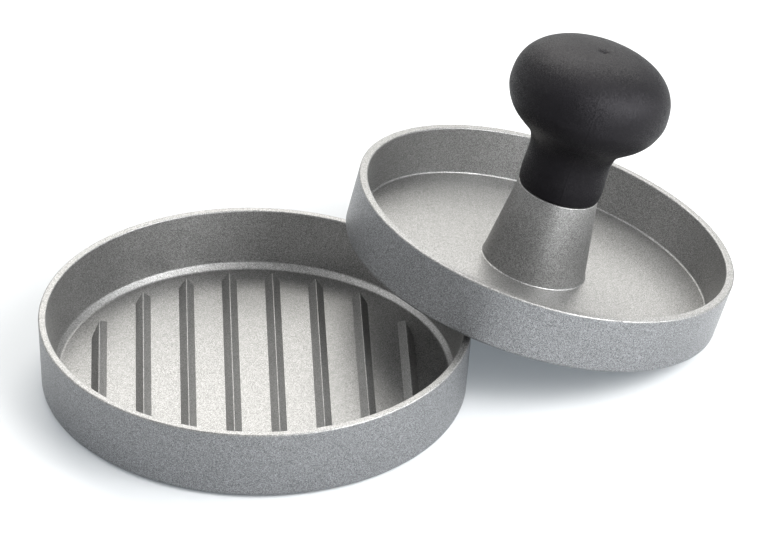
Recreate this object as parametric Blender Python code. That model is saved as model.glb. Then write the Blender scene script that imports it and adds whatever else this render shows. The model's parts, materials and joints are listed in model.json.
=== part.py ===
"""Patty press at rest: a ridged round base dish on the table, and the plunger leaning on the dish's rim.

Lengths in the constants are millimetres and angles are degrees. The mesh is built in metres, with +Z up.
The dish's axis is the world Z axis. The plunger is drawn upright on its own axis, then leaned into place.
"""

import math

import bmesh
import bpy
from mathutils import Matrix, Vector

MM = 0.001
FIT = 0.3
SEGMENTS = 96
KNOB_SEGMENTS = 64
SMALL_SEGMENTS = 32
ARC_STEPS = 4
SHARP_ANGLE = math.radians(32)

# Base dish, one casting.
DISH_RIM_RADIUS = 60.0
DISH_HEIGHT = 20.5
DISH_RIM_WIDTH = 2.15
DISH_OUTER_DRAFT = 2.7
DISH_BOTTOM_ROUND = 1.7
DISH_EDGE_ROUND = 0.45
COVE_TOP_RADIUS = 55.8
COVE_TOP_HEIGHT = 4.5
COVE_FOOT_RADIUS = 54.3
COVE_BULGE = 0.25
COVE_STEPS = 4
FLOOR_HEIGHT = 3.0

# Ridges on the dish's floor, cast in one with it.
RIDGE_COUNT = 8
RIDGE_PITCH = 12.34
RIDGE_WIDTH = 4.26
RIDGE_RISE = 2.6
RIDGE_CREST_WIDTH = 0.24
RIDGE_ROOT = 0.9
RIDGE_END_RADIUS = 48.4
RIDGE_TURN = 3.7

# Press plate, one casting with its boss. Heights are above its flat underside.
PLATE_RIM_RADIUS = 55.4
PLATE_HEIGHT = 16.9
PLATE_RIM_WIDTH = 2.45
PLATE_OUTER_DRAFT = 1.9
PLATE_BOTTOM_ROUND = 1.0
PLATE_EDGE_ROUND = 0.45
PLATE_FLOOR_RADIUS = 51.4
PLATE_FLOOR_HEIGHT = 2.8
PLATE_FLOOR_ROUND = 0.6
BOSS_FOOT_RADIUS = 15.15
BOSS_FOOT_ROUND = 0.45
BOSS_TOP_RADIUS = 11.62
BOSS_TOP_HEIGHT = 27.2
BOSS_EDGE_ROUND = 0.25
BOLT_HOLE_RADIUS = 3.3
COUNTERBORE_RADIUS = 6.2
COUNTERBORE_DEPTH = 5.5

# Knob, one moulding: (radius, height above the plate's underside) up its side to its widest point.
KNOB_BOTTOM = BOSS_TOP_HEIGHT + FIT
KNOB_SIDE = (
    (11.86, 28.2),
    (12.0, 30.0),
    (12.05, 31.8),
    (11.94, 34.6),
    (11.88, 37.2),
    (12.0, 39.4),
    (12.52, 41.6),
    (13.65, 43.6),
    (15.35, 45.3),
    (17.45, 47.0),
    (19.55, 48.85),
    (21.1, 50.8),
    (22.2, 53.0),
    (22.85, 55.0),
)
KNOB_BOTTOM_RADIUS = 11.75
KNOB_WIDEST_RADIUS = 23.0
KNOB_WIDEST_HEIGHT = 56.4
KNOB_CROWN_RISE = 14.7
KNOB_CROWN_POWER = 2.55
KNOB_CROWN_STEPS = 11

# Fastening inside the boss and the knob.
INSERT_RADIUS = 5.0
INSERT_GROOVE_RADIUS = 4.4
INSERT_GROOVE_RISE = 5.5
INSERT_GROOVE_HEIGHT = 4.0
INSERT_LENGTH = 17.0
INSERT_LEAD_IN = 1.0
INSERT_BORE_RADIUS = 3.3
SCREW_SHANK_RADIUS = 3.0
SCREW_TIP_HEIGHT = 43.6
SCREW_HEAD_RADIUS = 5.5
SCREW_HEAD_BOTTOM = 1.0
SCREW_HEAD_THICKNESS = 3.3
SCREW_HEAD_CHAMFER = 0.7
SCREW_TIP_CHAMFER = 0.7
SOCKET_ACROSS_CORNERS = 4.6
SOCKET_DEPTH = 2.0
WASHER_OUTER_RADIUS = 5.9
WASHER_INNER_RADIUS = 3.3
WASHER_THICKNESS = 0.6

# Where the plunger stands: the middle of its underside, and its axis leaning away from the dish.
PLUNGER_X = 76.73
PLUNGER_Y = 40.26
PLUNGER_LEAN = 15.02
PLUNGER_LEAN_HEADING = 17.74


def clear_scene():
    for obj in list(bpy.data.objects):
        bpy.data.objects.remove(obj, do_unlink=True)


def material(name, colour, metallic, roughness):
    made = bpy.data.materials.new(name)
    made.use_nodes = True
    shader = made.node_tree.nodes["Principled BSDF"]
    shader.inputs["Base Color"].default_value = (*colour, 1.0)
    shader.inputs["Metallic"].default_value = metallic
    shader.inputs["Roughness"].default_value = roughness
    return made


def rounded(corners):
    """The outline through (radius, height, rounding) corners, each rounded corner drawn as a short arc."""
    outline = []
    count = len(corners)
    for index, (radius, height, rounding) in enumerate(corners):
        here = Vector((radius, height))
        if rounding <= 0.0:
            outline.append(here)
            continue
        before = Vector(corners[index - 1][:2]) - here
        after = Vector(corners[(index + 1) % count][:2]) - here
        before.normalize()
        after.normalize()
        half = before.angle(after) / 2.0
        middle = here + (before + after).normalized() * (rounding / math.sin(half))
        start = here + before * (rounding / math.tan(half)) - middle
        end = here + after * (rounding / math.tan(half)) - middle
        sweep = start.angle(end)
        for step in range(ARC_STEPS + 1):
            share = step / ARC_STEPS
            blend = (start * math.sin((1.0 - share) * sweep) + end * math.sin(share * sweep)) / math.sin(sweep)
            outline.append(middle + blend)
    return outline


def link(name, mesh, surface):
    obj = bpy.data.objects.new(name, mesh)
    bpy.context.scene.collection.objects.link(obj)
    if surface is not None:
        mesh.materials.append(surface)
    return obj


def smooth(mesh):
    for polygon in mesh.polygons:
        polygon.use_smooth = True
    mesh.set_sharp_from_angle(angle=SHARP_ANGLE)


def lathe(name, outline, segments, surface, ring=False):
    """Turns an outline of (radius, height) points round the Z axis. A ring joins its last point to its first."""
    grid = bmesh.new()
    rows = []
    for radius, height in outline:
        if radius < 1e-6:
            rows.append([grid.verts.new((0.0, 0.0, height * MM))])
            continue
        row = []
        for step in range(segments):
            angle = 2.0 * math.pi * step / segments
            row.append(grid.verts.new((radius * MM * math.cos(angle), radius * MM * math.sin(angle), height * MM)))
        rows.append(row)
    pairs = list(zip(rows, rows[1:]))
    if ring:
        pairs.append((rows[-1], rows[0]))
    for lower, upper in pairs:
        for step in range(segments):
            after = (step + 1) % segments
            if len(lower) == 1:
                grid.faces.new((lower[0], upper[after], upper[step]))
            elif len(upper) == 1:
                grid.faces.new((lower[step], lower[after], upper[0]))
            else:
                grid.faces.new((lower[step], lower[after], upper[after], upper[step]))
    bmesh.ops.recalc_face_normals(grid, faces=grid.faces)
    mesh = bpy.data.meshes.new(name)
    grid.to_mesh(mesh)
    grid.free()
    smooth(mesh)
    return link(name, mesh, surface)


def prism(name, outline, bottom, top, surface):
    """Stands an outline of (x, y) points up from bottom to top."""
    grid = bmesh.new()
    low = [grid.verts.new((x * MM, y * MM, bottom * MM)) for x, y in outline]
    high = [grid.verts.new((x * MM, y * MM, top * MM)) for x, y in outline]
    count = len(outline)
    grid.faces.new(low)
    grid.faces.new(high)
    for step in range(count):
        after = (step + 1) % count
        grid.faces.new((low[step], low[after], high[after], high[step]))
    bmesh.ops.recalc_face_normals(grid, faces=grid.faces)
    mesh = bpy.data.meshes.new(name)
    grid.to_mesh(mesh)
    grid.free()
    return link(name, mesh, surface)


def helper(obj):
    obj.hide_render = True
    obj.display_type = "WIRE"
    return obj


def boolean(obj, other, operation):
    cut = obj.modifiers.new(operation.title(), "BOOLEAN")
    cut.operation = operation
    cut.solver = "EXACT"
    cut.object = other


def circle(radius, segments):
    turn = 2.0 * math.pi / segments
    return [(radius * math.cos(turn * step), radius * math.sin(turn * step)) for step in range(segments)]


def dish_outline():
    draft = math.tan(math.radians(DISH_OUTER_DRAFT))
    corners = [
        (0.0, 0.0, 0.0),
        (DISH_RIM_RADIUS - DISH_HEIGHT * draft, 0.0, DISH_BOTTOM_ROUND),
        (DISH_RIM_RADIUS, DISH_HEIGHT, DISH_EDGE_ROUND),
        (DISH_RIM_RADIUS - DISH_RIM_WIDTH, DISH_HEIGHT, DISH_EDGE_ROUND),
        (COVE_TOP_RADIUS, COVE_TOP_HEIGHT, 0.0),
    ]
    outline = rounded(corners)
    top = Vector((COVE_TOP_RADIUS, COVE_TOP_HEIGHT))
    foot = Vector((COVE_FOOT_RADIUS, FLOOR_HEIGHT))
    inward = (foot - top).orthogonal().normalized() * COVE_BULGE
    for step in range(1, COVE_STEPS):
        share = step / COVE_STEPS
        outline.append(top.lerp(foot, share) - inward * math.sin(math.pi * share))
    outline.append(foot)
    outline.append(Vector((0.0, FLOOR_HEIGHT)))
    return outline


def ridge_blanks():
    """All the ridges as long V-topped bars, sunk into the floor, before their ends are trimmed to a circle."""
    grid = bmesh.new()
    slope = RIDGE_RISE / ((RIDGE_WIDTH - RIDGE_CREST_WIDTH) / 2.0)
    crest = RIDGE_CREST_WIDTH / 2.0
    root = RIDGE_WIDTH / 2.0 + RIDGE_ROOT / slope
    low = FLOOR_HEIGHT - RIDGE_ROOT
    high = FLOOR_HEIGHT + RIDGE_RISE
    section = ((-root, low), (-crest, high), (crest, high), (root, low))
    turn = Matrix.Rotation(math.radians(RIDGE_TURN), 3, "Z")
    for index in range(RIDGE_COUNT):
        middle = (index - (RIDGE_COUNT - 1) / 2.0) * RIDGE_PITCH
        ends = []
        for along in (-DISH_RIM_RADIUS, DISH_RIM_RADIUS):
            points = [turn @ Vector((middle + across, along, height)) * MM for across, height in section]
            ends.append([grid.verts.new(point) for point in points])
        grid.faces.new(ends[0])
        grid.faces.new(ends[1])
        for step in range(4):
            after = (step + 1) % 4
            grid.faces.new((ends[0][step], ends[0][after], ends[1][after], ends[1][step]))
    bmesh.ops.recalc_face_normals(grid, faces=grid.faces)
    mesh = bpy.data.meshes.new("ridge_blanks")
    grid.to_mesh(mesh)
    grid.free()
    return helper(link("ridge_blanks", mesh, None))


def build_dish(surface):
    dish = lathe("base_dish", dish_outline(), SEGMENTS, surface)
    blanks = ridge_blanks()
    trimmer_bottom = (FLOOR_HEIGHT - RIDGE_ROOT) / 2.0
    trimmer = prism("ridge_trimmer", circle(RIDGE_END_RADIUS, SEGMENTS), trimmer_bottom, DISH_HEIGHT, None)
    boolean(blanks, helper(trimmer), "INTERSECT")
    boolean(dish, blanks, "UNION")


def plate_outline():
    draft = math.tan(math.radians(PLATE_OUTER_DRAFT))
    corners = [
        (COUNTERBORE_RADIUS, 0.0, 0.0),
        (PLATE_RIM_RADIUS - PLATE_HEIGHT * draft, 0.0, PLATE_BOTTOM_ROUND),
        (PLATE_RIM_RADIUS, PLATE_HEIGHT, PLATE_EDGE_ROUND),
        (PLATE_RIM_RADIUS - PLATE_RIM_WIDTH, PLATE_HEIGHT, PLATE_EDGE_ROUND),
        (PLATE_FLOOR_RADIUS, PLATE_FLOOR_HEIGHT, PLATE_FLOOR_ROUND),
        (BOSS_FOOT_RADIUS, PLATE_FLOOR_HEIGHT, BOSS_FOOT_ROUND),
        (BOSS_TOP_RADIUS, BOSS_TOP_HEIGHT, BOSS_EDGE_ROUND),
        (BOLT_HOLE_RADIUS, BOSS_TOP_HEIGHT, 0.0),
        (BOLT_HOLE_RADIUS, COUNTERBORE_DEPTH, 0.0),
        (COUNTERBORE_RADIUS, COUNTERBORE_DEPTH, 0.0),
    ]
    return rounded(corners)


def knob_outline():
    cavity = INSERT_RADIUS + FIT
    blind_end = KNOB_BOTTOM + INSERT_LENGTH + FIT
    outline = [Vector((0.0, blind_end)), Vector((cavity, blind_end)), Vector((cavity, KNOB_BOTTOM))]
    outline.append(Vector((KNOB_BOTTOM_RADIUS - FIT, KNOB_BOTTOM)))
    outline.append(Vector((KNOB_BOTTOM_RADIUS, KNOB_BOTTOM + FIT)))
    outline.extend(Vector(point) for point in KNOB_SIDE)
    for step in range(KNOB_CROWN_STEPS):
        angle = math.pi / 2.0 * step / KNOB_CROWN_STEPS
        radius = KNOB_WIDEST_RADIUS * math.cos(angle) ** (2.0 / KNOB_CROWN_POWER)
        rise = KNOB_CROWN_RISE * math.sin(angle) ** (2.0 / KNOB_CROWN_POWER)
        outline.append(Vector((radius, KNOB_WIDEST_HEIGHT + rise)))
    outline.append(Vector((0.0, KNOB_WIDEST_HEIGHT + KNOB_CROWN_RISE)))
    return outline


def insert_outline():
    bottom = KNOB_BOTTOM
    top = bottom + INSERT_LENGTH
    groove = bottom + INSERT_GROOVE_RISE
    slope = INSERT_RADIUS - INSERT_GROOVE_RADIUS
    return [
        Vector((INSERT_BORE_RADIUS, bottom)),
        Vector((INSERT_RADIUS, bottom)),
        Vector((INSERT_RADIUS, groove)),
        Vector((INSERT_GROOVE_RADIUS, groove + slope)),
        Vector((INSERT_GROOVE_RADIUS, groove + INSERT_GROOVE_HEIGHT - slope)),
        Vector((INSERT_RADIUS, groove + INSERT_GROOVE_HEIGHT)),
        Vector((INSERT_RADIUS, top - INSERT_LEAD_IN)),
        Vector((INSERT_RADIUS - slope, top)),
        Vector((INSERT_BORE_RADIUS, top)),
    ]


def screw_outline():
    seat = SCREW_HEAD_BOTTOM + SCREW_HEAD_THICKNESS
    return [
        Vector((0.0, SCREW_HEAD_BOTTOM)),
        Vector((SCREW_HEAD_RADIUS - SCREW_HEAD_CHAMFER, SCREW_HEAD_BOTTOM)),
        Vector((SCREW_HEAD_RADIUS, SCREW_HEAD_BOTTOM + SCREW_HEAD_CHAMFER)),
        Vector((SCREW_HEAD_RADIUS, seat)),
        Vector((SCREW_SHANK_RADIUS, seat)),
        Vector((SCREW_SHANK_RADIUS, SCREW_TIP_HEIGHT - SCREW_TIP_CHAMFER)),
        Vector((SCREW_SHANK_RADIUS - SCREW_TIP_CHAMFER, SCREW_TIP_HEIGHT)),
        Vector((0.0, SCREW_TIP_HEIGHT)),
    ]


def washer_outline():
    bottom = SCREW_HEAD_BOTTOM + SCREW_HEAD_THICKNESS + FIT
    top = bottom + WASHER_THICKNESS
    return [
        Vector((WASHER_INNER_RADIUS, bottom)),
        Vector((WASHER_OUTER_RADIUS, bottom)),
        Vector((WASHER_OUTER_RADIUS, top)),
        Vector((WASHER_INNER_RADIUS, top)),
    ]


def plunger_stand():
    """The plunger's frame: leaned over, with the lowest point of the plate's rounded edge on the table."""
    draft = math.radians(PLATE_OUTER_DRAFT)
    lean = math.radians(PLUNGER_LEAN)
    edge = PLATE_RIM_RADIUS - (PLATE_HEIGHT - PLATE_BOTTOM_ROUND) * math.tan(draft)
    edge -= PLATE_BOTTOM_ROUND / math.cos(draft)
    height = PLATE_BOTTOM_ROUND * (1.0 - math.cos(lean)) + edge * math.sin(lean)
    heading = Matrix.Rotation(math.radians(PLUNGER_LEAN_HEADING), 4, "Z")
    place = Matrix.Translation(Vector((PLUNGER_X, PLUNGER_Y, height)) * MM)
    stand = bpy.data.objects.new("plunger_stand", None)
    stand.empty_display_size = 0.02
    stand.matrix_world = place @ heading @ Matrix.Rotation(lean, 4, "Y") @ heading.inverted()
    bpy.context.scene.collection.objects.link(stand)
    return stand


def build_plunger(plate_metal, knob_plastic, brass, steel, washer_steel):
    socket = circle(SOCKET_ACROSS_CORNERS / 2.0, 6)
    cutter = helper(prism("socket_cutter", socket, 0.0, SCREW_HEAD_BOTTOM + SOCKET_DEPTH, None))
    screw = lathe("knob_screw", screw_outline(), SMALL_SEGMENTS, steel)
    boolean(screw, cutter, "DIFFERENCE")
    pieces = [
        lathe("press_plate", plate_outline(), SEGMENTS, plate_metal, ring=True),
        lathe("knob", knob_outline(), KNOB_SEGMENTS, knob_plastic),
        lathe("knob_insert", insert_outline(), SMALL_SEGMENTS, brass, ring=True),
        screw,
        lathe("screw_washer", washer_outline(), SMALL_SEGMENTS, washer_steel, ring=True),
        cutter,
    ]
    stand = plunger_stand()
    for piece in pieces:
        piece.parent = stand


clear_scene()
cast_aluminium = material("dish_coated_aluminium", (0.42, 0.42, 0.44), 0.9, 0.38)
plate_aluminium = material("plate_coated_aluminium", (0.42, 0.42, 0.44), 0.9, 0.38)
black_plastic = material("knob_black_plastic", (0.02, 0.02, 0.02), 0.0, 0.5)
insert_brass = material("insert_brass", (0.72, 0.52, 0.22), 1.0, 0.3)
screw_steel = material("screw_stainless_steel", (0.56, 0.56, 0.57), 1.0, 0.25)
plain_washer_steel = material("washer_stainless_steel", (0.6, 0.6, 0.6), 1.0, 0.3)
build_dish(cast_aluminium)
build_plunger(plate_aluminium, black_plastic, insert_brass, screw_steel, plain_washer_steel)
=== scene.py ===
"""Patty press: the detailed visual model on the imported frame."""

import json
import math

import bmesh
import bpy
from mathutils import Matrix, Vector
from mathutils import noise as field


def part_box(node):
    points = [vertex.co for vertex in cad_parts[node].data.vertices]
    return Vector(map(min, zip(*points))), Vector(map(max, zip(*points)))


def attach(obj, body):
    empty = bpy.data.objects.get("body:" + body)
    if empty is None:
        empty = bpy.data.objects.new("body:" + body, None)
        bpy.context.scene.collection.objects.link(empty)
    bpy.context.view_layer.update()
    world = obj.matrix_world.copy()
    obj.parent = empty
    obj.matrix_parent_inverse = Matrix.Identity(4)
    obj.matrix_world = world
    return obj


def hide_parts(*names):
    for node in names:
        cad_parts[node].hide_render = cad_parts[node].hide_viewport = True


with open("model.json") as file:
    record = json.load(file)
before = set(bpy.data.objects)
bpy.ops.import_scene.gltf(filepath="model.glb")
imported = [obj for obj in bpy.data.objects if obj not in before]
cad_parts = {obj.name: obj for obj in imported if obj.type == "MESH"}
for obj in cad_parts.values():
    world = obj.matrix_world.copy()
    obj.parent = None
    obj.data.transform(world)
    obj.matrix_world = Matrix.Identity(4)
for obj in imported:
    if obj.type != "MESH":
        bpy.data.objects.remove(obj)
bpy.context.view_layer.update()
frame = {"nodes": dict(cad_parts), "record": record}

# Lengths are in millimetres up to the stage, and each point is turned into metres by MM.
MM = 0.001
TURN_STEPS = 256
EVEN_TURN = tuple(2.0 * math.pi * step / TURN_STEPS for step in range(TURN_STEPS))
ARC_STEPS = 7
CURVE_STEPS = 5
EDGE_ROUND = 0.45
WALL_SKIN = 1.8
UNDERSIDE_SKIN = 2.0
CAD_SLACK = 0.01
SAME_RADIUS = 0.01
SAME_ANGLE = 1e-4
ON_AXIS = 1e-6

# The washer's middle is on the plunger's axis, this far above the plate's underside.
WASHER_MIDDLE = 4.9


def plunger_matrix():
    """The plunger's own frame: its origin is the middle of the plate's underside, and its Z is its axis."""
    underside = next(mount for mount in frame["record"]["mounts"] if mount["name"] == "plate_underside")
    axis = -Vector(underside["axis"]).normalized()
    low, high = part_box("screw_washer")
    origin = (low + high) / 2.0 - axis * WASHER_MIDDLE * MM
    lean = Vector((0.0, 0.0, 1.0)).rotation_difference(axis)
    return Matrix.Translation(origin) @ lean.to_matrix().to_4x4()


PLUNGER = plunger_matrix()


# ---------------------------------------------------------------- outlines


def arc_round(corners):
    """The outline through (radius, height, rounding) corners, with each rounded corner drawn as an arc."""
    outline = []
    count = len(corners)
    for index, (radius, height, rounding) in enumerate(corners):
        here = Vector((radius, height))
        if rounding <= 0.0:
            outline.append(here)
            continue
        before = (Vector(corners[index - 1][:2]) - here).normalized()
        after = (Vector(corners[(index + 1) % count][:2]) - here).normalized()
        half = before.angle(after) / 2.0
        middle = here + (before + after).normalized() * (rounding / math.sin(half))
        start = here + before * (rounding / math.tan(half)) - middle
        end = here + after * (rounding / math.tan(half)) - middle
        sweep = start.angle(end)
        for step in range(ARC_STEPS + 1):
            share = step / ARC_STEPS
            blend = start * math.sin((1.0 - share) * sweep) + end * math.sin(share * sweep)
            outline.append(middle + blend / math.sin(sweep))
    return outline


def curve_through(points):
    """A smooth line through the points (Catmull-Rom)."""
    line = []
    for index in range(len(points) - 1):
        here = Vector(points[index])
        there = Vector(points[index + 1])
        before = Vector(points[index - 1]) if index else here * 2.0 - there
        after = Vector(points[index + 2]) if index + 2 < len(points) else there * 2.0 - here
        for step in range(CURVE_STEPS):
            t = step / CURVE_STEPS
            line.append(
                0.5
                * (
                    2.0 * here
                    + (there - before) * t
                    + (2.0 * before - 5.0 * here + 4.0 * there - after) * t * t
                    + (3.0 * here - before - 3.0 * there + after) * t * t * t
                )
            )
    line.append(Vector(points[-1]))
    return line


# ---------------------------------------------------------------- mesh helpers


def paint_shade_outside(grid, rim_radius, rim_height):
    """Gives the outer wall and the underside of a casting the second material, a darker, bluer copy of the
    coat that paints shade and a cool reflection of the floor onto them.
    """
    for face in grid.faces:
        middle = face.calc_center_median() / MM
        on_wall = middle.xy.length > rim_radius - WALL_SKIN and middle.z < rim_height - EDGE_ROUND
        face.material_index = int(on_wall or middle.z < UNDERSIDE_SKIN)


def finish_mesh(name, grid, surfaces, sharp=32.0):
    """Turns the grid into a smooth-shaded object with hard edges where faces meet at over sharp degrees."""
    bmesh.ops.recalc_face_normals(grid, faces=grid.faces)
    mesh = bpy.data.meshes.new(name)
    grid.to_mesh(mesh)
    grid.free()
    for polygon in mesh.polygons:
        polygon.use_smooth = True
    mesh.set_sharp_from_angle(angle=math.radians(sharp))
    obj = bpy.data.objects.new(name, mesh)
    bpy.context.scene.collection.objects.link(obj)
    for surface in surfaces:
        mesh.materials.append(surface)
    even = obj.modifiers.new("even_shading", "WEIGHTED_NORMAL")
    even.keep_sharp = True
    return obj


def turn_profile(grid, outline, angles=EVEN_TURN, ring=False, shape=None):
    """Turns (radius, height) points round the Z axis. shape(radius, height, angle) may move each point."""
    rows = []
    for radius, height in outline:
        if radius < ON_AXIS:
            up = shape(0.0, height, 0.0)[1] if shape else height
            rows.append([grid.verts.new((0.0, 0.0, up * MM))])
            continue
        row = []
        for angle in angles:
            out, up = shape(radius, height, angle) if shape else (radius, height)
            row.append(grid.verts.new((out * MM * math.cos(angle), out * MM * math.sin(angle), up * MM)))
        rows.append(row)
    pairs = list(zip(rows, rows[1:]))
    if ring:
        pairs.append((rows[-1], rows[0]))
    for lower, upper in pairs:
        for step in range(len(angles)):
            after = (step + 1) % len(angles)
            if len(lower) == 1:
                grid.faces.new((lower[0], upper[after], upper[step]))
            elif len(upper) == 1:
                grid.faces.new((lower[step], lower[after], upper[0]))
            else:
                grid.faces.new((lower[step], lower[after], upper[after], upper[step]))


def turned(name, outline, surfaces, place=None, sharp=32.0, rim=None, **turning):
    """A closed turned piece, with its place in its mesh.

    rim=(radius, height) is the rim where the painted shade, the darker and bluer outside copy of the coat,
    ends.
    """
    grid = bmesh.new()
    turn_profile(grid, outline, **turning)
    if rim is not None:
        paint_shade_outside(grid, *rim)
    if place is not None:
        bmesh.ops.transform(grid, matrix=place, verts=grid.verts)
    return finish_mesh(name, grid, surfaces, sharp)


def finer_near(spots, reach, gap):
    """Even angles with more of them near each spot. All are in degrees, and the result is in radians."""
    angles = set(EVEN_TURN)
    for spot in spots:
        count = round(reach / gap)
        angles.update(math.radians((spot + gap * step) % 360.0) for step in range(-count, count + 1))
    ordered = sorted(angles)
    following = ordered[1:] + [ordered[0] + 2.0 * math.pi]
    return [angle for angle, after in zip(ordered, following) if after - angle > SAME_ANGLE]


# ---------------------------------------------------------------- materials


def new_material(name):
    made = bpy.data.materials.new(name)
    made.use_nodes = True
    tree = made.node_tree
    return made, tree, tree.nodes["Principled BSDF"]


def add(tree, kind, **settings):
    node = tree.nodes.new(kind)
    for key, value in settings.items():
        setattr(node, key, value)
    return node


def noise(tree, coords, scale, detail, rough):
    node = add(tree, "ShaderNodeTexNoise")
    node.inputs["Scale"].default_value = scale
    node.inputs["Detail"].default_value = detail
    node.inputs["Roughness"].default_value = rough
    tree.links.new(coords, node.inputs["Vector"])
    return node.outputs["Fac"]


def ramp(tree, source, stops):
    node = add(tree, "ShaderNodeValToRGB")
    elements = node.color_ramp.elements
    elements[0].position = stops[0][0]
    elements[0].color = (*stops[0][1], 1.0)
    elements[1].position = stops[-1][0]
    elements[1].color = (*stops[-1][1], 1.0)
    for position, colour in stops[1:-1]:
        elements.new(position).color = (*colour, 1.0)
    tree.links.new(source, node.inputs["Fac"])
    return node.outputs["Color"]


def span(tree, source, low, high):
    """The noise spread evenly from low to high. Its own values lie mostly between 0.3 and 0.7."""
    node = add(tree, "ShaderNodeMapRange")
    node.inputs["From Min"].default_value = 0.3
    node.inputs["From Max"].default_value = 0.7
    node.inputs["To Min"].default_value = low
    node.inputs["To Max"].default_value = high
    tree.links.new(source, node.inputs["Value"])
    return node.outputs["Result"]


def bumped(tree, shader, height, strength, distance, normal=None):
    node = add(tree, "ShaderNodeBump")
    node.inputs["Strength"].default_value = strength
    node.inputs["Distance"].default_value = distance
    tree.links.new(height, node.inputs["Height"])
    if normal is not None:
        tree.links.new(normal, node.inputs["Normal"])
    tree.links.new(node.outputs["Normal"], shader.inputs["Normal"])


def flakes(tree, coords, scale):
    node = add(tree, "ShaderNodeTexVoronoi")
    node.inputs["Scale"].default_value = scale
    tree.links.new(coords, node.inputs["Vector"])
    return node.outputs["Color"]


def tilted_normal(tree, flake_colour, amount):
    """The surface normal, tipped a different way in each flake."""
    centred = add(tree, "ShaderNodeVectorMath", operation="SUBTRACT")
    centred.inputs[1].default_value = (0.5, 0.5, 0.5)
    tree.links.new(flake_colour, centred.inputs[0])
    tilt = add(tree, "ShaderNodeVectorMath", operation="SCALE")
    tilt.inputs["Scale"].default_value = amount
    tree.links.new(centred.outputs[0], tilt.inputs[0])
    geometry = add(tree, "ShaderNodeNewGeometry")
    tipped = add(tree, "ShaderNodeVectorMath", operation="ADD")
    tree.links.new(geometry.outputs["Normal"], tipped.inputs[0])
    tree.links.new(tilt.outputs[0], tipped.inputs[1])
    normal = add(tree, "ShaderNodeVectorMath", operation="NORMALIZE")
    tree.links.new(tipped.outputs[0], normal.inputs[0])
    return normal.outputs[0]


def multiplied(tree, colour, factor):
    """A Mix node's inputs 6 and 7 and its output 2 are its colours."""
    node = add(tree, "ShaderNodeMix", data_type="RGBA", blend_type="MULTIPLY")
    node.inputs["Factor"].default_value = 1.0
    tree.links.new(colour, node.inputs[6])
    tree.links.new(factor, node.inputs[7])
    return node.outputs[2]


# Texture scales are in cells or waves per metre.
# The outside coat below is a darker, bluer copy of the inside coat. It paints shade and a cool reflection of
# the floor onto the outer walls and undersides.
INSIDE_COAT = (0.222, 0.22, 0.216)
OUTSIDE_PAINTED_SHADE_COAT = (0.2, 0.204, 0.21)
INSIDE_CONTRAST = 1.6
OUTSIDE_CONTRAST = 1.75
FLAKE_SCALE = 6500.0
FLAKE_TILT = 0.09
FLAKE_DARKER = 0.28
FLAKE_LIGHTER = 0.33
PORE_SCALE = 2600.0
PATCH_SCALE = 60.0
COAT_ROUGHNESS = (0.42, 0.46)
COAT_METALLIC = 0.85


def coated_metal(name, coat, contrast):
    """Non-stick coating full of fine metal flakes over an aluminium casting."""
    made, tree, shader = new_material(name)
    coords = add(tree, "ShaderNodeTexCoord").outputs["Object"]
    fine = flakes(tree, coords, FLAKE_SCALE)
    pores = noise(tree, coords, PORE_SCALE, 3.0, 0.7)
    patches = noise(tree, coords, PATCH_SCALE, 3.0, 0.5)
    bumped(tree, shader, pores, 0.2, 0.00002, tilted_normal(tree, fine, FLAKE_TILT))
    stops = ((0.2, 1.0 - FLAKE_DARKER * contrast), (0.5, 0.98), (0.8, 1.0 + FLAKE_LIGHTER * contrast))
    tones = [(at, tuple(tone * part for part in coat)) for at, tone in stops]
    colour = multiplied(tree, ramp(tree, fine, tones), span(tree, patches, 0.97, 1.03))
    tree.links.new(colour, shader.inputs["Base Color"])
    tree.links.new(span(tree, patches, *COAT_ROUGHNESS), shader.inputs["Roughness"])
    shader.inputs["Metallic"].default_value = COAT_METALLIC
    return made


PLASTIC_TONES = ((0.3, (0.0023, 0.002, 0.0027)), (0.7, (0.0036, 0.0032, 0.0041)))
PLASTIC_ROUGHNESS = (0.47, 0.53)
PLASTIC_TINT = (0.98, 0.95, 1.0, 1.0)
SPECK_SCALE = 5000.0
SPECK_TILT = 0.4
GRAIN_SCALE = 3200.0
SMEAR_SCALE = 120.0


def black_plastic(name):
    """Matt black moulding with a fine eroded texture."""
    made, tree, shader = new_material(name)
    coords = add(tree, "ShaderNodeTexCoord").outputs["Object"]
    specks = flakes(tree, coords, SPECK_SCALE)
    grain = noise(tree, coords, GRAIN_SCALE, 2.0, 0.6)
    smear = noise(tree, coords, SMEAR_SCALE, 3.0, 0.5)
    bumped(tree, shader, grain, 0.3, 0.00003, tilted_normal(tree, specks, SPECK_TILT))
    tree.links.new(ramp(tree, smear, PLASTIC_TONES), shader.inputs["Base Color"])
    tree.links.new(span(tree, smear, *PLASTIC_ROUGHNESS), shader.inputs["Roughness"])
    shader.inputs["Specular IOR Level"].default_value = 0.155
    shader.inputs["Specular Tint"].default_value = PLASTIC_TINT
    return made


def plain_metal(name, colour, low, high, scale):
    """Bright metal, with its roughness between low and high in fine marks."""
    made, tree, shader = new_material(name)
    coords = add(tree, "ShaderNodeTexCoord").outputs["Object"]
    marks = noise(tree, coords, scale, 2.0, 0.5)
    bumped(tree, shader, marks, 0.1, 0.00001)
    lighter = tuple(min(1.0, value * 1.05) for value in colour)
    darker = tuple(value * 0.94 for value in colour)
    tree.links.new(ramp(tree, marks, ((0.35, darker), (0.65, lighter))), shader.inputs["Base Color"])
    tree.links.new(span(tree, marks, low, high), shader.inputs["Roughness"])
    shader.inputs["Metallic"].default_value = 1.0
    return made


# ---------------------------------------------------------------- pieces

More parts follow.
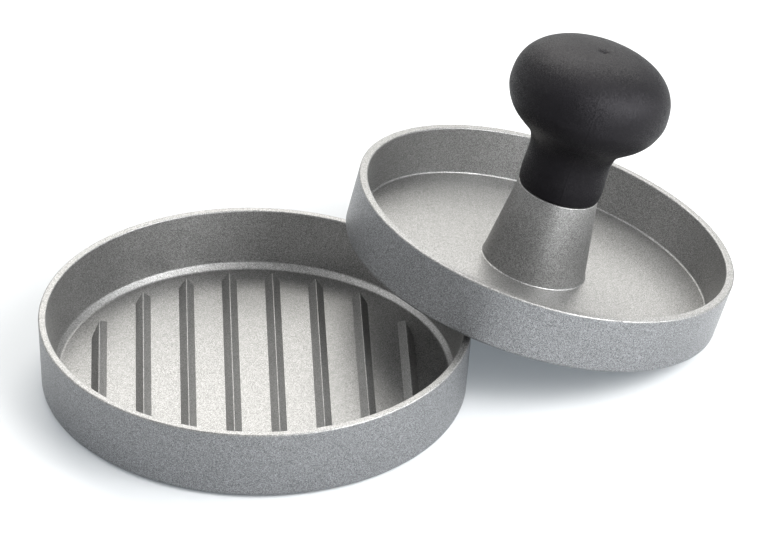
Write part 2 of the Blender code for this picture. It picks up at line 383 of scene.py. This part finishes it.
DISH_RIM_RADIUS = 60.0
DISH_RIM_WIDTH = 2.15
DISH_HEIGHT = 20.5
DISH_DRAFT = math.radians(2.7)
DISH_BOTTOM_ROUND = 1.7
FLOOR_HEIGHT = 3.0
COVE_TOP = (55.8, 4.5)
COVE_FOOT_RADIUS = 54.3
COVE_ROUND = 1.2
RIDGES = 8
RIDGE_PITCH = 12.34
RIDGE_HALF = 2.13
RIDGE_RISE = 2.6
RIDGE_CREST_ROUND = 0.22
RIDGE_CREST_STEPS = 4
RIDGE_CREST_LOSS = 0.12
RIDGE_SINK = 0.5
RIDGE_BOTTOM_SINK = 0.2
RIDGE_END = 48.4
RIDGE_TURN = math.radians(3.7)


def dish_outline():
    corners = [
        (0.0, 0.0, 0.0),
        (DISH_RIM_RADIUS - DISH_HEIGHT * math.tan(DISH_DRAFT), 0.0, DISH_BOTTOM_ROUND),
        (DISH_RIM_RADIUS, DISH_HEIGHT, EDGE_ROUND),
        (DISH_RIM_RADIUS - DISH_RIM_WIDTH, DISH_HEIGHT, EDGE_ROUND),
        (*COVE_TOP, COVE_ROUND),
        (COVE_FOOT_RADIUS, FLOOR_HEIGHT, COVE_ROUND),
        (0.0, FLOOR_HEIGHT, 0.0),
    ]
    return arc_round(corners)


def ridge_section():
    """(across, height) points over one ridge from root to root, and the height of its sunk roots."""
    slope = math.atan2(RIDGE_RISE + RIDGE_CREST_LOSS, RIDGE_HALF)
    middle = FLOOR_HEIGHT + RIDGE_RISE - RIDGE_CREST_ROUND
    over = []
    for step in range(-RIDGE_CREST_STEPS, RIDGE_CREST_STEPS + 1):
        angle = slope * step / RIDGE_CREST_STEPS
        over.append((RIDGE_CREST_ROUND * math.sin(angle), middle + RIDGE_CREST_ROUND * math.cos(angle)))
    edge_x, edge_z = over[-1]
    sink = FLOOR_HEIGHT - RIDGE_SINK
    root = edge_x + (edge_z - sink) / math.tan(slope)
    run, fall = root - edge_x, sink - edge_z
    side = [(edge_x + run * share, edge_z + fall * share) for share in (0.33, 0.66, 1.0)]
    return [(-x, z) for x, z in reversed(side)] + over + side, sink


def add_ridges(grid):
    """Each ridge is a closed prism, cut off at its ends by a circle round the dish's axis."""
    section, sink = ridge_section()
    turn = Matrix.Rotation(RIDGE_TURN, 3, "Z")
    for index in range(RIDGES):
        middle = (index - (RIDGES - 1) / 2.0) * RIDGE_PITCH
        tops = []
        floors = []
        for across, height in section:
            x = middle + across
            reach = math.sqrt(RIDGE_END**2 - x * x)
            for row, z in ((tops, height), (floors, sink - RIDGE_BOTTOM_SINK)):
                row.append([grid.verts.new(turn @ Vector((x, y, z)) * MM) for y in (-reach, reach)])
        for step in range(len(section) - 1):
            a, b, c, d = tops[step], tops[step + 1], floors[step], floors[step + 1]
            grid.faces.new((a[0], b[0], b[1], a[1]))
            grid.faces.new((c[0], c[1], d[1], d[0]))
            grid.faces.new((a[0], c[0], d[0], b[0]))
            grid.faces.new((a[1], b[1], d[1], c[1]))
        for end in (0, -1):
            grid.faces.new((tops[end][0], tops[end][1], floors[end][1], floors[end][0]))


PLATE_RIM_RADIUS = 55.4
PLATE_RIM_WIDTH = 2.45
PLATE_HEIGHT = 16.9
PLATE_DRAFT = math.radians(1.9)
PLATE_BOTTOM_ROUND = 1.0
PLATE_FLOOR_RADIUS = 51.4
PLATE_FLOOR_HEIGHT = 2.8
PLATE_FLOOR_ROUND = 0.6
BOSS_FOOT_RADIUS = 15.15
BOSS_FOOT_ROUND = 0.45
BOSS_TOP_RADIUS = 11.62
BOSS_TOP_ROUND = 0.25
BOSS_HEIGHT = 27.2
SCREW_HOLE_RADIUS = 3.3
COUNTERBORE_RADIUS = 6.2
COUNTERBORE_DEPTH = 5.5
COUNTERBORE_ROUND = 0.15
CHIP_HEADING = math.radians(290.5)
CHIP_HALF_ANGLE = math.radians(1.3)
CHIP_DEPTH = 0.3
CHIP_REACH_IN = 0.8
CHIP_REACH_DOWN = 1.1
CHIP_MARGIN = 0.4
CHIP_FINE_REACH = 4.0
FINE_GAP = 0.25


def chipped(radius, height, angle):
    """A small casting chip in the outer edge of the plate's rim."""
    if height < PLATE_HEIGHT - CHIP_REACH_DOWN or radius < PLATE_RIM_RADIUS - CHIP_REACH_IN:
        return radius, height
    across = (angle - CHIP_HEADING) / CHIP_HALF_ANGLE
    depth = CHIP_DEPTH * math.exp(-across * across) * (1.0 + 0.5 * math.sin(5.0 * across))
    return radius - depth, height - 0.5 * depth


def plate_outline():
    """The third corner, just below the chip's reach, keeps the chip from creasing the whole wall."""
    draft = math.tan(PLATE_DRAFT)
    rim = PLATE_RIM_RADIUS - CAD_SLACK
    below = CHIP_REACH_DOWN + CHIP_MARGIN
    corners = [
        (COUNTERBORE_RADIUS, 0.0, COUNTERBORE_ROUND),
        (rim - PLATE_HEIGHT * draft, 0.0, PLATE_BOTTOM_ROUND),
        (rim - below * draft, PLATE_HEIGHT - below, 0.0),
        (rim, PLATE_HEIGHT, EDGE_ROUND),
        (rim - PLATE_RIM_WIDTH, PLATE_HEIGHT, EDGE_ROUND),
        (PLATE_FLOOR_RADIUS, PLATE_FLOOR_HEIGHT, PLATE_FLOOR_ROUND),
        (BOSS_FOOT_RADIUS, PLATE_FLOOR_HEIGHT, BOSS_FOOT_ROUND),
        (BOSS_TOP_RADIUS, BOSS_HEIGHT, BOSS_TOP_ROUND),
        (SCREW_HOLE_RADIUS, BOSS_HEIGHT, 0.0),
        (SCREW_HOLE_RADIUS, COUNTERBORE_DEPTH, 0.0),
        (COUNTERBORE_RADIUS, COUNTERBORE_DEPTH, 0.0),
    ]
    return arc_round(corners)


KNOB_BOTTOM = 27.5
KNOB_SIDE = (
    (11.86, 28.2),
    (12.0, 30.0),
    (12.05, 31.8),
    (11.94, 34.6),
    (11.88, 37.2),
    (12.0, 39.4),
    (12.52, 41.6),
    (13.65, 43.6),
    (15.35, 45.3),
    (17.45, 47.0),
    (19.55, 48.85),
    (21.1, 50.8),
    (22.2, 53.0),
    (22.85, 55.0),
    (23.0, 56.4),
)
KNOB_WIDEST_RADIUS, KNOB_WIDEST_HEIGHT = KNOB_SIDE[-1]
KNOB_LIP = ((11.4, 0.0), (11.62, 0.08), (11.76, 0.3))
KNOB_SOCKET_RADIUS = 5.3
KNOB_SOCKET_TOP = 44.8
CROWN_RISE = 14.69
CROWN_POWER = 2.55
CROWN_TURN_RADIUS = 4.0
CROWN_SIDE_STEPS = 40
CROWN_TOP_STEPS = 20
PARTING_HEADING = 268.5
PARTING_HALF_WIDTH = 0.22
PARTING_HEIGHT = 0.05
PARTING_FADE_RADIUS = 10.0
PARTING_FINE_REACH = 2.5
GATE_RADIUS = 1.1
GATE_REACH = 2.6
GATE_DEPTH = 0.42


def crown_height(radius):
    """The crown is a superellipse from the knob's widest ring to its top."""
    share = (radius / KNOB_WIDEST_RADIUS) ** CROWN_POWER
    return KNOB_WIDEST_HEIGHT + CROWN_RISE * (1.0 - share) ** (1.0 / CROWN_POWER)


def knob_outline():
    outline = [Vector((0.0, KNOB_SOCKET_TOP)), Vector((KNOB_SOCKET_RADIUS, KNOB_SOCKET_TOP))]
    outline.append(Vector((KNOB_SOCKET_RADIUS, KNOB_BOTTOM)))
    outline += [Vector((radius, KNOB_BOTTOM + rise)) for radius, rise in KNOB_LIP]
    outline += curve_through(KNOB_SIDE)[:-1]
    for step in range(CROWN_SIDE_STEPS):
        angle = math.pi / 2.0 * step / CROWN_SIDE_STEPS
        radius = KNOB_WIDEST_RADIUS * math.cos(angle) ** (2.0 / CROWN_POWER)
        if radius > CROWN_TURN_RADIUS:
            outline.append(Vector((radius, crown_height(radius))))
    for step in range(CROWN_TOP_STEPS):
        radius = CROWN_TURN_RADIUS * (1.0 - step / CROWN_TOP_STEPS)
        outline.append(Vector((radius, crown_height(radius))))
    outline.append(Vector((0.0, KNOB_WIDEST_HEIGHT + CROWN_RISE)))
    return outline


def moulded(radius, height, angle):
    """The raised parting line down both sides, and the broken-off gate in the middle of the crown."""
    if radius < KNOB_SOCKET_RADIUS + SAME_RADIUS and height < KNOB_WIDEST_HEIGHT:
        return radius, height
    off_line = (math.degrees(angle) - PARTING_HEADING + 90.0) % 180.0 - 90.0
    across = radius * math.radians(off_line) / PARTING_HALF_WIDTH
    fade = min(1.0, radius / PARTING_FADE_RADIUS)
    if height < KNOB_WIDEST_HEIGHT or radius > GATE_REACH * GATE_RADIUS:
        return radius + PARTING_HEIGHT * math.exp(-across * across) * fade, height
    x, y = radius * math.cos(angle), radius * math.sin(angle)
    rough = field.noise(Vector((x * 1.4, y * 1.4, 3.1))) + 0.5 * field.noise(Vector((x * 3.3, y * 3.3, 7.7)))
    near = math.exp(-((x / (1.5 * GATE_RADIUS)) ** 2) - (y / GATE_RADIUS) ** 2)
    return radius, height - near * (GATE_DEPTH + 0.5 * rough)


SCREW_ANGLES = tuple(2.0 * math.pi * step / 48 for step in range(48))
SCREW_RADIUS = 3.0
SCREW_BOTTOM = 1.0
SCREW_TIP = 43.6
SCREW_TIP_CHAMFER = 0.7
SCREW_HEAD_RADIUS = 5.5
SCREW_HEAD_ROUND = 0.7
SCREW_SEAT = 4.3
SCREW_SEAT_ROUND = 0.25
SCREW_FILLET = 0.2
SCREW_THREAD_START = 16.0
SCREW_THREAD_DEPTH = 0.55
THREAD_PITCH = 1.0
THREAD_STEPS = 8
THREAD_SLOPE = 2.4
SOCKET_MOUTH_RADIUS = 2.45
SOCKET_MOUTH_CHAMFER = 0.15
SOCKET_HALF_FLATS = 2.0
SOCKET_DEPTH = 2.0
INSERT_ANGLES = tuple(2.0 * math.pi * step / 96 for step in range(96))
INSERT_TOP = 44.5
INSERT_RADIUS = 5.0
INSERT_BORE = 3.3
INSERT_EDGE = 0.3
INSERT_LEAD = (0.6, 1.0)
INSERT_THREAD_DEPTH = 0.35
GROOVE_BOTTOM = 33.0
GROOVE_TOP = 37.0
GROOVE_DEPTH = 0.6
KNURL_COUNT = 24
KNURL_DEPTH = 0.22


def thread_cut(height, angle, low, high):
    """The thread's depth at that point, as a share of its full depth. It runs out at both ends."""
    turn = (height / THREAD_PITCH - angle / (2.0 * math.pi)) % 1.0
    fade = min(1.0, (height - low) / THREAD_PITCH, (high - height) / THREAD_PITCH)
    return max(0.0, fade) * (1.0 - min(1.0, THREAD_SLOPE * abs(turn - 0.5)))


def thread_rows(radius, low, high):
    count = round((high - low) / THREAD_PITCH * THREAD_STEPS)
    return [(radius, low + (high - low) * step / count) for step in range(count + 1)]


def socket_and_thread(radius, height, angle):
    """The flats of the screw's hexagon socket, and its thread."""
    if abs(radius - SOCKET_HALF_FLATS) < SAME_RADIUS and height < SCREW_SEAT:
        off_flat = (angle + math.pi / 6.0) % (math.pi / 3.0) - math.pi / 6.0
        return SOCKET_HALF_FLATS / math.cos(off_flat), height
    if abs(radius - SCREW_RADIUS) < SAME_RADIUS and height >= SCREW_THREAD_START:
        return radius - SCREW_THREAD_DEPTH * thread_cut(height, angle, SCREW_THREAD_START, SCREW_TIP), height
    return radius, height


def screw_outline():
    """From the bottom of the socket, which opens downwards, round the head and up the shank."""
    socket = [
        (0.0, SCREW_BOTTOM + SOCKET_DEPTH),
        (SOCKET_HALF_FLATS, SCREW_BOTTOM + SOCKET_DEPTH),
        (SOCKET_HALF_FLATS, SCREW_BOTTOM + SOCKET_MOUTH_CHAMFER),
    ]
    head = [
        (SOCKET_MOUTH_RADIUS, SCREW_BOTTOM, 0.0),
        (SCREW_HEAD_RADIUS, SCREW_BOTTOM, SCREW_HEAD_ROUND),
        (SCREW_HEAD_RADIUS, SCREW_SEAT, SCREW_SEAT_ROUND),
        (SCREW_RADIUS + SCREW_FILLET, SCREW_SEAT, 0.0),
        (SCREW_RADIUS, SCREW_SEAT + SCREW_FILLET, 0.0),
    ]
    thread = thread_rows(SCREW_RADIUS, SCREW_THREAD_START, SCREW_TIP - SCREW_TIP_CHAMFER)
    tip = [(SCREW_RADIUS - SCREW_TIP_CHAMFER, SCREW_TIP), (0.0, SCREW_TIP)]
    return socket + arc_round(head) + thread + tip


def knurls_and_bore(radius, height, angle):
    """Straight knurls round the insert's two lands, and the thread in its bore."""
    if radius > INSERT_RADIUS - SAME_RADIUS:
        return radius - KNURL_DEPTH * (0.5 + 0.5 * math.cos(KNURL_COUNT * angle)), height
    if radius < INSERT_BORE + SAME_RADIUS:
        return radius + INSERT_THREAD_DEPTH * thread_cut(height, angle, KNOB_BOTTOM, INSERT_TOP), height
    return radius, height


def insert_outline():
    """The insert has a groove round its middle that the moulding grips."""
    lead_in, lead_down = INSERT_LEAD
    outline = [
        (INSERT_BORE + INSERT_EDGE, KNOB_BOTTOM),
        (INSERT_RADIUS - INSERT_EDGE, KNOB_BOTTOM),
        (INSERT_RADIUS, KNOB_BOTTOM + INSERT_EDGE),
        (INSERT_RADIUS, GROOVE_BOTTOM),
        (INSERT_RADIUS - GROOVE_DEPTH, GROOVE_BOTTOM + GROOVE_DEPTH),
        (INSERT_RADIUS - GROOVE_DEPTH, GROOVE_TOP - GROOVE_DEPTH),
        (INSERT_RADIUS, GROOVE_TOP),
        (INSERT_RADIUS, INSERT_TOP - lead_down),
        (INSERT_RADIUS - lead_in, INSERT_TOP),
        (INSERT_BORE + INSERT_EDGE, INSERT_TOP),
    ]
    bore = thread_rows(INSERT_BORE, KNOB_BOTTOM + INSERT_EDGE, INSERT_TOP - INSERT_EDGE)
    return outline + bore[::-1]


# On the castings, material 0 is the inside coat and material 1 is a darker, bluer copy of it on the outer
# walls and undersides, which is painted shade and a painted cool reflection of the floor.
metal = coated_metal("flake_coated_aluminium", INSIDE_COAT, INSIDE_CONTRAST)
metal_painted_shade = coated_metal("flake_coated_aluminium_painted_shade", OUTSIDE_PAINTED_SHADE_COAT, OUTSIDE_CONTRAST)
plastic = black_plastic("matt_black_plastic")

dish = turned("dish_casting", dish_outline(), (metal, metal_painted_shade), rim=(DISH_RIM_RADIUS, DISH_HEIGHT))
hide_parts("base_dish")
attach(dish, "dish")

grid = bmesh.new()
add_ridges(grid)
ridges = finish_mesh("dish_ridges", grid, (metal,))
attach(ridges, "dish")

plate = turned(
    "plate_casting",
    plate_outline(),
    (metal, metal_painted_shade),
    place=PLUNGER,
    rim=(PLATE_RIM_RADIUS, PLATE_HEIGHT),
    angles=finer_near([math.degrees(CHIP_HEADING)], CHIP_FINE_REACH, FINE_GAP),
    ring=True,
    shape=chipped,
)
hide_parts("press_plate")
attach(plate, "plunger")

knob = turned(
    "knob_moulding",
    knob_outline(),
    (plastic,),
    place=PLUNGER,
    sharp=50.0,
    angles=finer_near([PARTING_HEADING, PARTING_HEADING - 180.0], PARTING_FINE_REACH, FINE_GAP),
    shape=moulded,
)
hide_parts("knob")
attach(knob, "plunger")

brass = plain_metal("turned_brass", (0.72, 0.5, 0.2), 0.22, 0.36, 900.0)
insert = turned(
    "knurled_insert",
    insert_outline(),
    (brass,),
    place=PLUNGER,
    angles=INSERT_ANGLES,
    ring=True,
    shape=knurls_and_bore,
)
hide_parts("knob_insert")
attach(insert, "plunger")

steel = plain_metal("stainless_screw", (0.55, 0.55, 0.56), 0.2, 0.34, 1200.0)
screw = turned(
    "socket_head_screw",
    screw_outline(),
    (steel,),
    place=PLUNGER,
    sharp=40.0,
    angles=SCREW_ANGLES,
    shape=socket_and_thread,
)
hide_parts("knob_screw")
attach(screw, "plunger")

frame["nodes"]["screw_washer"].material_slots[0].material = plain_metal(
    "stainless_washer", (0.6, 0.6, 0.6), 0.25, 0.4, 1500.0
)

# ---------------------------------------------------------------- stage, lights and camera

# Lengths are in metres from here on.
STAGE_REACH = 6.0
STAGE_DROP = 0.0002


def stage_floor():
    grid = bmesh.new()
    signs = ((-1, -1), (1, -1), (1, 1), (-1, 1))
    grid.faces.new([grid.verts.new((x * STAGE_REACH, y * STAGE_REACH, -STAGE_DROP)) for x, y in signs])
    mesh = bpy.data.meshes.new("studio_floor")
    grid.to_mesh(mesh)
    grid.free()
    floor = bpy.data.objects.new("studio_floor", mesh)
    bpy.context.scene.collection.objects.link(floor)
    surface, _, shader = new_material("pale_floor")
    shader.inputs["Base Color"].default_value = (0.5, 0.5, 0.5, 1.0)
    shader.inputs["Roughness"].default_value = 0.9
    shader.inputs["Emission Color"].default_value = (0.75, 0.88, 1.0, 1.0)
    shader.inputs["Emission Strength"].default_value = 0.14
    mesh.materials.append(surface)


LIGHT_MIDDLE = Vector((0.06, 0.02, 0.02))
WARM = (1.0, 0.985, 0.945)
WHITE = (1.0, 1.0, 1.0)
COOL = (0.972, 0.99, 1.0)
FAR = 2.0
NEAR = 0.45
# name: (heading round from +X in degrees, elevation in degrees, distance, width, height, glow, colour)
SOFT_BOXES = {
    "back_box": (90.0, 30.0, FAR, 1.9, 1.3, 2.9, WARM),
    "back_high_box": (90.0, 55.0, FAR, 1.2, 0.6, 9.6, WARM),
    "back_left_box": (150.0, 16.0, FAR, 0.9, 0.6, 2.0, WHITE),
    "left_box": (180.0, 42.0, FAR, 0.9, 0.8, 3.35, WHITE),
    "front_right_box": (328.0, 42.0, FAR, 1.0, 0.9, 3.9, WHITE),
    "front_strip": (300.0, 5.0, FAR, 0.6, 0.3, 6.6, COOL),
    "near_front_strip": (300.0, 15.0, NEAR, 0.3, 0.1, 6.1, COOL),
    "near_right_strip": (0.0, 15.0, NEAR, 0.3, 0.1, 5.85, COOL),
    "near_front_box": (315.0, 35.0, NEAR, 0.3, 0.2, 5.85, COOL),
    "near_right_box": (345.0, 35.0, NEAR, 0.3, 0.2, 10.5, COOL),
    "near_high_box": (320.0, 60.0, NEAR, 0.25, 0.2, 3.35, WHITE),
}


def soft_box(name, heading, elevation, distance, width, height, glow, colour):
    level = math.cos(math.radians(elevation))
    heading = math.radians(heading)
    away = Vector((level * math.cos(heading), level * math.sin(heading), math.sin(math.radians(elevation))))
    lamp = bpy.data.lights.new(name, "AREA")
    lamp.shape = "RECTANGLE"
    lamp.size = width
    lamp.size_y = height
    lamp.energy = glow * math.pi * width * height
    lamp.color = colour
    obj = bpy.data.objects.new(name, lamp)
    obj.visible_camera = False
    bpy.context.scene.collection.objects.link(obj)
    aim = (-away).to_track_quat("-Z", "Y").to_matrix().to_4x4()
    obj.matrix_world = Matrix.Translation(LIGHT_MIDDLE + away * distance) @ aim


stage_floor()
for box_name, setting in SOFT_BOXES.items():
    soft_box(box_name, *setting)

world = bpy.data.worlds.new("studio")
world.use_nodes = True
world.node_tree.nodes["Background"].inputs["Color"].default_value = (*COOL, 1.0)
world.node_tree.nodes["Background"].inputs["Strength"].default_value = 0.78
bpy.context.scene.world = world
bpy.context.scene.view_settings.view_transform = "Standard"

CAMERA_PLACE = (0.0373, -1.1347, 0.7232)
CAMERA_PITCH = 0.5457
CAMERA_ROLL = 0.0347
CAMERA_LENS = 226.2
CAMERA_SHIFT = (-0.0099, 0.0004)
forward = Vector((0.0, math.cos(CAMERA_PITCH), -math.sin(CAMERA_PITCH)))
level = Vector((1.0, 0.0, 0.0))
upright = level.cross(forward)
right = level * math.cos(CAMERA_ROLL) + upright * math.sin(CAMERA_ROLL)
above = upright * math.cos(CAMERA_ROLL) - level * math.sin(CAMERA_ROLL)
lens = bpy.data.cameras.new("photo_camera")
lens.sensor_width = 36.0
lens.lens = CAMERA_LENS
lens.shift_x, lens.shift_y = CAMERA_SHIFT
lens.clip_start = 0.05
camera = bpy.data.objects.new("photo_camera", lens)
bpy.context.scene.collection.objects.link(camera)
rows = [(right[i], above[i], -forward[i], CAMERA_PLACE[i]) for i in range(3)]
camera.matrix_world = Matrix((*rows, (0.0, 0.0, 0.0, 1.0)))
bpy.context.scene.camera = camera
